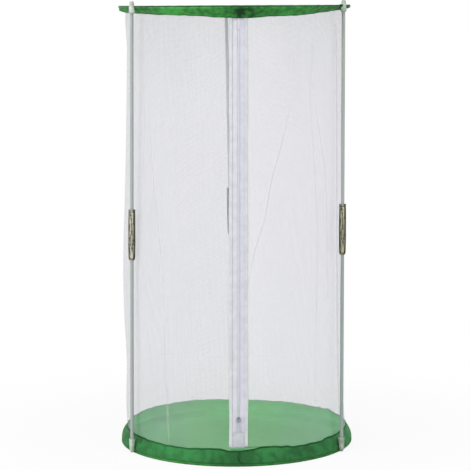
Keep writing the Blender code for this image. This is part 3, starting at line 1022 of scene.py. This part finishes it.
def slider(finish):
    """Two shield-shaped plates, with a bridge over the front one."""
    half = 0.0050
    length = 0.0150
    bridge_reach = 0.0042
    bridge_rise = 0.0034
    shield = []
    for i in range(13):
        angle = pi * i / 12
        shield.append((half * cos(angle), length / 2 - half + half * sin(angle)))
    shoulder = -length * 0.1
    toe = half * 0.62
    shield += [(-half, shoulder), (-toe, -length / 2), (toe, -length / 2), (half, shoulder)]
    bridge = bpy.data.curves.new("slider_bridge", "CURVE")
    set_up(bridge, dimensions="3D", bevel_depth=0.00085, bevel_resolution=3, use_fill_caps=True)
    spline = bridge.splines.new("POLY")
    spline.points.add(10)
    for i, point in enumerate(spline.points):
        angle = pi * i / 10
        out = slider_front - 0.0006 + bridge_rise * sin(angle) ** 0.7
        point.co = (0, out, bridge_reach * cos(angle), 1)
    bridge.materials.append(finish)
    pieces = [
        plate("slider_front", shield, slider_front - 0.0013, slider_front, finish),
        plate("slider_back", shield, -0.0016, -0.0003, finish),
        add_object("slider_bridge", bridge),
    ]
    for piece in pieces:
        piece.matrix_world = slider_place()
        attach(piece, "slider")
    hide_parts("slider_body")


def tab(finish):
    """The pull tab, hanging flat from the bridge."""
    half = 0.0030
    waist = half * 0.62
    length = 0.031
    shoulder = -0.0058
    neck = -0.0085
    end = []
    for i in range(9):
        angle = pi * i / 8
        end.append((-half * cos(angle), -(length - half) - half * sin(angle)))
    outline = [(half * 0.8, 0.0012), (-half * 0.8, 0.0012), (-half, 0), (-half, shoulder), (-waist, neck)]
    outline += [(-waist, -length / 2), *end, (waist, -length / 2), (waist, neck), (half, shoulder), (half, 0)]
    side = 0.0016
    hole = [(-side, -0.0006), (side, -0.0006), (side, -0.0056), (-side, -0.0056)]
    piece = plate("zip_tab", outline, -0.0006, 0.0006, finish, (hole,))
    piece.matrix_world = slider_place() @ Matrix.Translation((0, slider_front + tab_pivot_height, 0))
    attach(piece, "pull_tab")
    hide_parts("pull_tab")


# Poles

def pole_place(side):
    """The pole's own axes, with X outwards and Z up the pole, from its foot."""
    up = joint_axis("rod_" + side + "_pull")
    across = joint_axis("pole_" + side + "_tilt")
    outward = across.cross(up)
    foot = Vector(joint("pole_" + side + "_tilt")["pos_m"]) - outward * rod_radius - up * gap
    return own_axes(foot, outward, across, up)


def up_pole(side, point):
    """How far up the pole a point lies."""
    return (pole_place(side).inverted() @ point).z


def tube_rings(name, rings, steps, place, finish, slot, power=1.0):
    """A closed form through rings of (height, half width across, half depth)."""
    points = []
    uvs = []
    for height, wide, deep in rings:
        for i in range(steps):
            angle = full_turn * i / steps
            x, y = (copysign(abs(part) ** power, part) for part in (cos(angle), sin(angle)))
            points.append(Vector((deep * x, wide * y, height)))
            uvs.append((angle * max(wide, deep), height))
    last = (len(rings) - 1) * steps
    faces = [tuple(reversed(range(steps))), *grid_faces(steps, len(rings) - 1, steps)]
    faces.append(tuple(range(last, last + steps)))
    piece = new_piece(name, points, faces, finish, slot)
    layer = piece.data.uv_layers.new(name="cloth")
    for loop in piece.data.loops:
        layer.data[loop.index].uv = uvs[loop.vertex_index]
    piece.data.set_sharp_from_angle(angle=radians(50))
    piece.matrix_world = place
    return piece


def rod_sleeve(side, finish):
    """The crimped tube over the rods' joint, with a lip, a round nose and pressed seams to both sides."""
    mouth = 0.0087
    belly = 0.0093
    groove_depth = 0.0009
    lip_height = 0.0005
    nose_length = 0.006
    steps = 80
    rings = []
    for i in range(steps + 1):
        share = i / steps
        height = sleeve_half_length * (2 * share - 1)
        reach = mouth + (belly - mouth) * sin(pi * share)
        for groove in sleeve_grooves:
            reach -= groove_depth * bell((height - groove) / 0.0011)
        reach += lip_height * bell((share - 0.99) / 0.012)
        nose = min(share * 2 * sleeve_half_length / nose_length, 1)
        reach -= (mouth - rod_radius) * 0.8 * (1 - sqrt(1 - (1 - nose) ** 2))
        rings.append((height, reach, reach))
    place = pole_place(side)
    front = place.to_3x3().inverted() @ Vector((0, -1, 0))
    low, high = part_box("ferrule_" + side)
    place = place @ Matrix.Translation((0, 0, up_pole(side, (low + high) / 2)))
    place = place @ Matrix.Rotation(atan2(front.y, front.x), 4, "Z")
    piece = tube_rings("sleeve_" + side, rings, 48, place, finish, "crimped_steel")
    for point in piece.data.vertices:
        turn = atan2(point.co.y, point.co.x)
        dent = 0.02 * sin(5 * turn + 40 * point.co.z) * sin(8 * turn - 60 * point.co.z)
        seam = 0.05 * bell((abs(turn) - pi / 2) / 0.16)
        point.co.xy *= 1 + dent - seam
    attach(piece, "pole_" + side)
    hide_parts("ferrule_" + side)


def pocket(name, side, foot, mouth, body, finish, thread, node):
    """A flattened sleeve of webbing with a folded end, a hem at its mouth and two rows of stitches."""
    place = pole_place(side)
    wall = 0.0012
    shut_share = 0.16
    hem_start = 0.82
    hem_thickness = 0.0004
    bend = (0.001, 0.011)
    rings = []
    steps = 15
    for i in range(steps + 1):
        share = i / steps
        shut = sin(min(share / shut_share, 1) * pi / 2)
        hem = hem_thickness if share > hem_start else 0.0
        deep = (rod_radius + wall * 0.7) * (0.6 + 0.4 * shut) + 0.0013 * share + hem
        wide = 0.0052 * (0.62 + 0.38 * shut) + 0.0022 * share + 0.0002 * sin(share * 21) + hem
        rings.append((foot + (mouth - foot) * share, wide, deep))
    for depth, slack in ((0.0, 0.0014), (0.25, 0.0004)):
        reach = rod_radius + 0.0002 + slack
        rings.append((mouth + (foot - mouth) * depth, reach, reach))
    if mouth < foot:
        rings.reverse()
    piece = tube_rings(name, rings, 28, place, finish, "white_webbing", power=0.75)
    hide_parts(node)
    sewn = [piece]
    for seam, sign in (("_seam_a", -1), ("_seam_b", 1)):
        path = []
        for i in range(11):
            share = 0.12 + 0.07 * i
            height = foot + (mouth - foot) * share
            path.append(place @ Vector((0.0052 + 0.0014 * share, sign * 0.0034, height)))
        sewn.append(stitches(name + seam, path, thread, thread=0.0003))
    for item in sewn:
        if body == "base":
            start, end = (tuple(place @ Vector((0, 0, foot + rise))) for rise in bend)
            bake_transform(item)
            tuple(start)
            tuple(end)
        else:
            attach(item, body)


# Materials, pieces and their bodies

def dress():
    green = cloth_finish("green_cloth", (0.032, 0.195, 0.052), 45.0, 0.42, spots=base_light_and_shade)
    # Painted sheen: the top band has strong mottle and the roll a milder one, both tinted yellow in their
    # light patches, for the sheen streaks on their cloth
    roll_green = cloth_finish("roll_cloth", (0.040, 0.225, 0.05), 60.0, 0.36, (1.2, 1.0, 0.8), base_light_and_shade)
    top_sheen_tint = (1.15, 1.0, 0.8)
    top_green = cloth_finish("top_band_green", (0.031, 0.21, 0.049), 80.0, 0.8, top_sheen_tint, top_light_and_shade)
    hem_green = cloth_finish("hem_cloth", (0.010, 0.060, 0.017), 60.0, 0.5)
    rim_green = cloth_finish("rim_cloth", (0.007, 0.045, 0.013), 60.0, 0.5)
    seam_green = cloth_finish("seam_cloth", (0.012, 0.075, 0.021), 60.0, 0.5)
    disc_green = cloth_finish("top_disc_green", (0.036, 0.205, 0.052), 45.0, 0.2)
    # Painted light: the floor pales towards its edge, against the shade that the wall and netting throw there
    rim = (0.17, base_hoop_radius, (0.12, 0.58, 0.175))
    # Painted light: the floor is a lighter copy of the band's green fabric, for the light that falls on it
    # from above
    lit_floor_green = cloth_finish("floor_cloth", (0.072, 0.475, 0.107), 34.0, 0.15, rim=rim)
    # Painted light: the bands' insides are much lighter than their outsides, standing in for light through
    # the thin cloth, so that they match the floor
    lit_inner_green = cloth_finish("inner_cloth", (0.195, 0.74, 0.275), 34.0, 0.12)
    tape_green = (0.010, 0.072, 0.019)
    dark_green = cloth_finish("dark_binding", tape_green, 26.0, 0.65, spots=tape_spots, pitch=0.0012)
    # Painted light: the right netting is a lighter copy than the left, to even out the lamps' uneven light on
    # the two sides
    nets = {
        "left": netting_finish("netting_left", (0.61, 0.605, 0.675), 0.14, 0.52, net_spots),
        "right": netting_finish("netting_right", (0.69, 0.675, 0.76), 0.14, 0.52),
    }
    net_fold = netting_finish("netting_fold", (0.60, 0.59, 0.65), 0.10, 0.36)
    net_streak = netting_finish("netting_streak", (0.78, 0.82, 0.80), 0.1, 0.3)
    # The fold by the right pole lies double, and its darker colour paints the shade beside the pole
    net_edge = netting_finish("netting_edge", (0.56, 0.55, 0.62), 0.12, 0.36)
    net_hem = netting_finish("netting_hem", (0.62, 0.62, 0.66), 0.4, 0.7)
    tapes = {
        "left": webbing_finish("zip_tape_left", (0.725, 0.72, 0.775), 0.06, 0.0010),
        "right": webbing_finish("zip_tape_right", (0.69, 0.68, 0.775), 0.06, 0.0010),
    }
    webbing = webbing_finish("strip_webbing", (0.68, 0.70, 0.725), 0.07)
    patch_webbing = webbing_finish("patch_webbing", (0.60, 0.63, 0.67), 0.1)
    # Painted shade: the pockets are darker, greener copies of the white webbing, darker at the feet, and the
    # right side's copy is darker still
    pocket_webbing = webbing_finish("pocket_webbing", (0.54, 0.60, 0.54), 0.26)
    foot_webbing = webbing_finish("foot_webbing", (0.46, 0.57, 0.45), 0.32)
    shaded_webbing = webbing_finish("shaded_webbing", (0.40, 0.475, 0.385), 0.32)
    thread = coil_finish("thread", (0.74, 0.76, 0.76))
    green_thread = coil_finish("green_thread", (0.012, 0.08, 0.02))
    coil = coil_finish("coil", (0.75, 0.745, 0.82))
    # Painted shade: the slider is coloured dark grey for the shade in and around it
    cast = metal_finish("slider_metal_shaded", (0.25, 0.27, 0.31), 0.4, 0.5)
    tab_metal = metal_finish("tab_metal", (0.54, 0.57, 0.61), 0.42, 0.4)
    # Painted light and shade on the rods: the rear rods get a lighter copy of the glass rod, the right lower
    # rod a darker one
    lit_rear_rod = rod_finish("glass_rod_painted_light", (0.80, 0.83, 0.82), 0.2)
    rods = {
        "lower_rod_right": rod_finish("glass_rod_painted_shade", (0.33, 0.39, 0.365)),
        "lower_rod_rear": lit_rear_rod,
        "upper_rod_rear": lit_rear_rod,
    }
    # Painted shade: the right sleeve gets a darker copy of the plating
    plated = sleeve_finish("scratched_plate", (0.77, 0.735, 0.57), (0.014, 0.013, 0.009))
    shaded_plated = sleeve_finish("scratched_plate_shaded", (0.56, 0.54, 0.35), (0.012, 0.011, 0.006))

    kept_finishes = {
        "_rod_": rod_finish("glass_rod", (0.385, 0.425, 0.40)),
        "_hoop": metal_finish("spring_wire", (0.36, 0.36, 0.37)),
        "_stop": metal_finish("pressed_metal", (0.62, 0.63, 0.66)),
    }
    for name, node in frame["nodes"].items():
        for part, finish in kept_finishes.items():
            if part in name:
                node.data.materials.clear()
                node.data.materials.append(rods.get(name, finish))

    folding = [rear_seam(net_hem)]
    for side, sign in (("left", -1), ("right", 1)):
        folds = [
            crease("fold_" + side + "_" + str(place), path, 0.003, net_fold)
            for place, path in enumerate(crease_paths[side])
        ]
        if side == "left":
            folds.append(crease("fold_left_pale", pale_path, 0.008, net_streak))
        else:
            folds.append(crease("fold_right_edge", edge_path, 0.022, net_edge))
        folding += folds
        folding.append(net_panel(side, sign, nets[side]))
        folding.append(strip_tape(side, sign, tapes[side]))
        folding.append(strip_binding(side, sign, webbing))
        folding.append(zip_teeth(side, sign, coil))
        low = base_band_height + 0.004
        layer = tape_thickness + 0.0010
        for name, across, *rest in (
            ("binding_stitches_" + side + "_a", strip_half - 0.0014, low, layer),
            ("binding_stitches_" + side + "_b", strip_half - binding_width + 0.0014, low, layer),
            ("tape_stitches_" + side, 0.0046, patch_top, tape_thickness),
        ):
            folding.append(strip_stitches(name, sign * across, *rest, thread))
    for piece in folding:
        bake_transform(piece)

    hoop = (base_hoop_radius, casing_radius)
    sewn_radius = base_hoop_radius + casing_radius * 0.8
    sewn_angles = spaced(0, full_turn, 0.0042 / base_seam_radius)
    path = [round_point(angle, sewn_radius, casing_radius * 1.84) for angle in sewn_angles]
    base_pieces = [
        casing_ring("base_roll", "base_casing", *hoop, "base_gathers", roll_green),
        stitches("base_roll_stitches", path, green_thread, "green_fabric"), base_cloth(lit_floor_green),
        base_skirt(green, lit_inner_green), base_tape(dark_green), end_patch(patch_webbing),
        *skirt_join(seam_green, green_thread),
    ]
    tacks = []
    for i in range(14):
        height = base_band_height + 0.0022 + 0.0016 * (i % 2)
        tacks.append(wall_point(radians(3.9 + 0.62 * i), height, 0.0022))
    base_pieces.append(stitches("seam_tacks", tacks, rim_green, "green_fabric", 0.0007, 0.9))
    for piece in base_pieces:
        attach(piece, "base")
    hoop = (top_hoop_radius, top_hoop_height)
    top_pieces = [
        casing_ring("top_roll", "top_casing", *hoop, "top_gathers", top_green, 0.3),
        top_cloth(disc_green), top_skirt(top_green, lit_inner_green),
        # The hem and the rim seam are rolls of cloth; their near-black green paints the shade along the
        # band's edges
        piping("top_hem", 0.0012, hem_centre, hem_green),
        piping("top_rim_seam", 0.0009, rim_centre, rim_green), pocket_tongue(rim_green),
    ]
    for piece in top_pieces:
        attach(piece, "top")

    slider(cast)
    tab(tab_metal)
    for side in ("left", "right", "rear"):
        shaded = side == "right"
        rod_sleeve(side, shaded_plated if shaded else plated)
        foot = up_pole(side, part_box("foot_pocket_" + side)[0]) + gap
        finish = shaded_webbing if shaded else foot_webbing
        pocket("foot_sleeve_" + side, side, foot, 0.0345, "base", finish, thread, "foot_pocket_" + side)
        tip = up_pole(side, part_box("top_pocket_" + side)[1])
        finish = shaded_webbing if shaded else pocket_webbing
        pocket("tip_sleeve_" + side, side, tip, tip - 0.029, "top", finish, thread, "top_pocket_" + side)


# Studio

def studio():
    """A pale floor with a light shadow on it, in a world that the camera sees as white."""
    shader = Shader("studio_floor", (0.8, 0.8, 0.8), 0.9)
    seen = shader.add("LightPath", {}, "Is Camera Ray")
    white = shader.add("Emission", {}, 0)
    shadow_start, shadow_end, dimmed = 0.3, 1.2, 0.9
    fade = shader.stretch(shader.away(), shadow_start, shadow_end, dimmed, 1.0)
    shader.mix_surfaces(shader.times(seen, fade), shader.surface.outputs[0], white, "Material Output")
    mesh = bpy.data.meshes.new("studio_floor")
    reach = 30.0
    corners = [(x * reach, y * reach, 0) for x, y in ((-1, -1), (1, -1), (1, 1), (-1, 1))]
    mesh.from_pydata(corners, [], [(0, 1, 2, 3)])
    mesh.materials.append(shader.material)
    add_object("studio_floor", mesh)

    world = bpy.data.worlds.new("studio")
    bpy.context.scene.world = world
    world.use_nodes = True
    nodes = Nodes(world.node_tree)
    ambient = nodes.add("Background", {"Color": (0.97, 0.98, 1.0, 1.0), "Strength": 0.34}, 0)
    white = nodes.add("Background", {"Color": (1.0, 1.0, 1.0, 1.0)}, 0)
    seen = 0.0
    for rays in ("Is Camera Ray", "Is Glossy Ray", "Is Transmission Ray"):
        seen = nodes.math("MAXIMUM", nodes.add("LightPath", {}, rays), seen)
    nodes.mix_surfaces(seen, ambient, white, "World Output")

    aim = Vector((0, 0, cage_height / 2))
    for name, place, size, power in lamps:
        lamp = add_object(name, set_up(bpy.data.lights.new(name, "AREA"), size=size, energy=power))
        lamp.location = place
        lamp.rotation_euler = (aim - Vector(place)).to_track_quat("-Z", "Y").to_euler()


def camera():
    lens = bpy.data.cameras.new("camera")
    made = add_object("camera", set_up(lens, lens=camera_lens, sensor_width=camera_sensor, clip_end=100))
    turn = Matrix.Rotation(pi / 2 + camera_pitch, 4, "X") @ Matrix.Rotation(camera_roll, 4, "Z")
    made.matrix_world = Matrix.Translation(camera_place) @ turn
    bpy.context.scene.camera = made


camera()
dress()
studio()
bpy.context.scene.view_settings.view_transform = "Standard"
